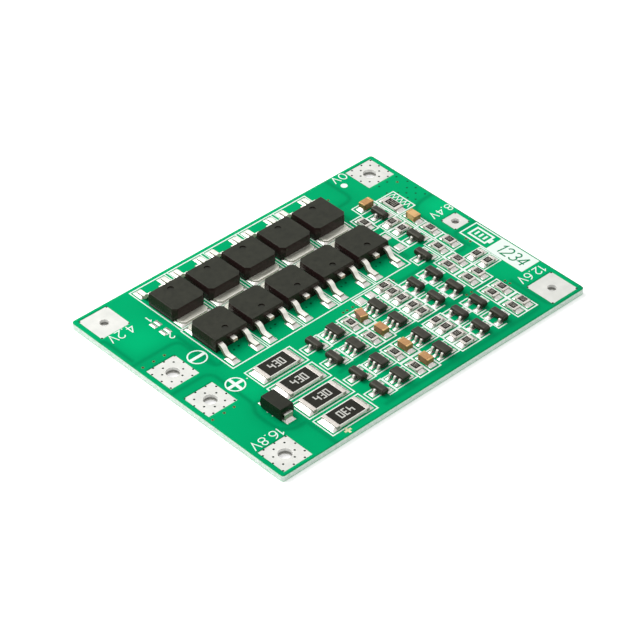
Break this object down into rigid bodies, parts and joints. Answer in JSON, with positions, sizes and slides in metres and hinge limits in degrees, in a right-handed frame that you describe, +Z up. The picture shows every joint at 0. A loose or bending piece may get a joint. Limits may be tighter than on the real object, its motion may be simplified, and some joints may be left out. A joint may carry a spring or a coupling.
{
  "type": "battery management board",
  "caption": "Bare green circuit board for a pack of cells in series, with two rows of power transistors, balance resistors, small chips and square solder terminals.",
  "frame": {"origin": "middle of the board's underside", "axes": "+X along the long edge, +Y along the short edge towards the rear row of power transistors, +Z up through the board to the parts"},
  "size_m": [0.06, 0.045, 0.0033],
  "materials": {
    "mask": "glossy green solder mask",
    "tin": "bright tin",
    "lead": "tinned copper alloy",
    "mould": "fine matt black",
    "ceramic": "unglazed white ceramic",
    "film": "satin black glaze",
    "capacitor": "tan ceramic"
  },
  "bodies": {
    "root": {"circuit_board": "mask", "terminal_4v2": "tin", "terminal_minus": "tin", "terminal_plus": "tin", "terminal_16v8": "tin", "terminal_0v": "tin", "terminal_8v4": "tin", "terminal_12v6": "tin", "fet_rear_1_case": "mould", "fet_rear_1_leadframe": "lead", "fet_rear_2_case": "mould", "fet_rear_2_leadframe": "lead", "fet_rear_3_case": "mould", "fet_rear_3_leadframe": "lead", "fet_rear_4_case": "mould", "fet_rear_4_leadframe": "lead", "fet_rear_5_case": "mould", "fet_rear_5_leadframe": "lead", "fet_front_1_case": "mould", "fet_front_1_leadframe": "lead", "fet_front_2_case": "mould", "fet_front_2_leadframe": "lead", "fet_front_3_case": "mould", "fet_front_3_leadframe": "lead", "fet_front_4_case": "mould", "fet_front_4_leadframe": "lead", "fet_front_5_case": "mould", "fet_front_5_leadframe": "lead", "balance_resistor_1_core": "ceramic", "balance_resistor_1_film": "film", "balance_resistor_2_core": "ceramic", "balance_resistor_2_film": "film", "balance_resistor_3_core": "ceramic", "balance_resistor_3_film": "film", "balance_resistor_4_core": "ceramic", "balance_resistor_4_film": "film", "balance_resistor_end_caps": "tin", "diode_case": "mould", "diode_leads": "lead", "three_leg_cases": "mould", "three_leg_legs": "lead", "six_leg_cases": "mould", "six_leg_legs": "lead", "chip_resistor_cores": "ceramic", "chip_resistor_films": "film", "chip_resistor_end_caps": "tin", "large_resistor_core": "ceramic", "large_resistor_film": "film", "large_resistor_end_caps": "tin", "capacitor_bodies": "capacitor", "capacitor_end_caps": "tin", "fet_lands": "tin", "balance_resistor_lands": "tin", "diode_lands": "tin", "leg_lands": "tin", "chip_lands": "tin", "spare_lands": "tin", "jumper_pads": "tin"}
  },
  "joints": []
}
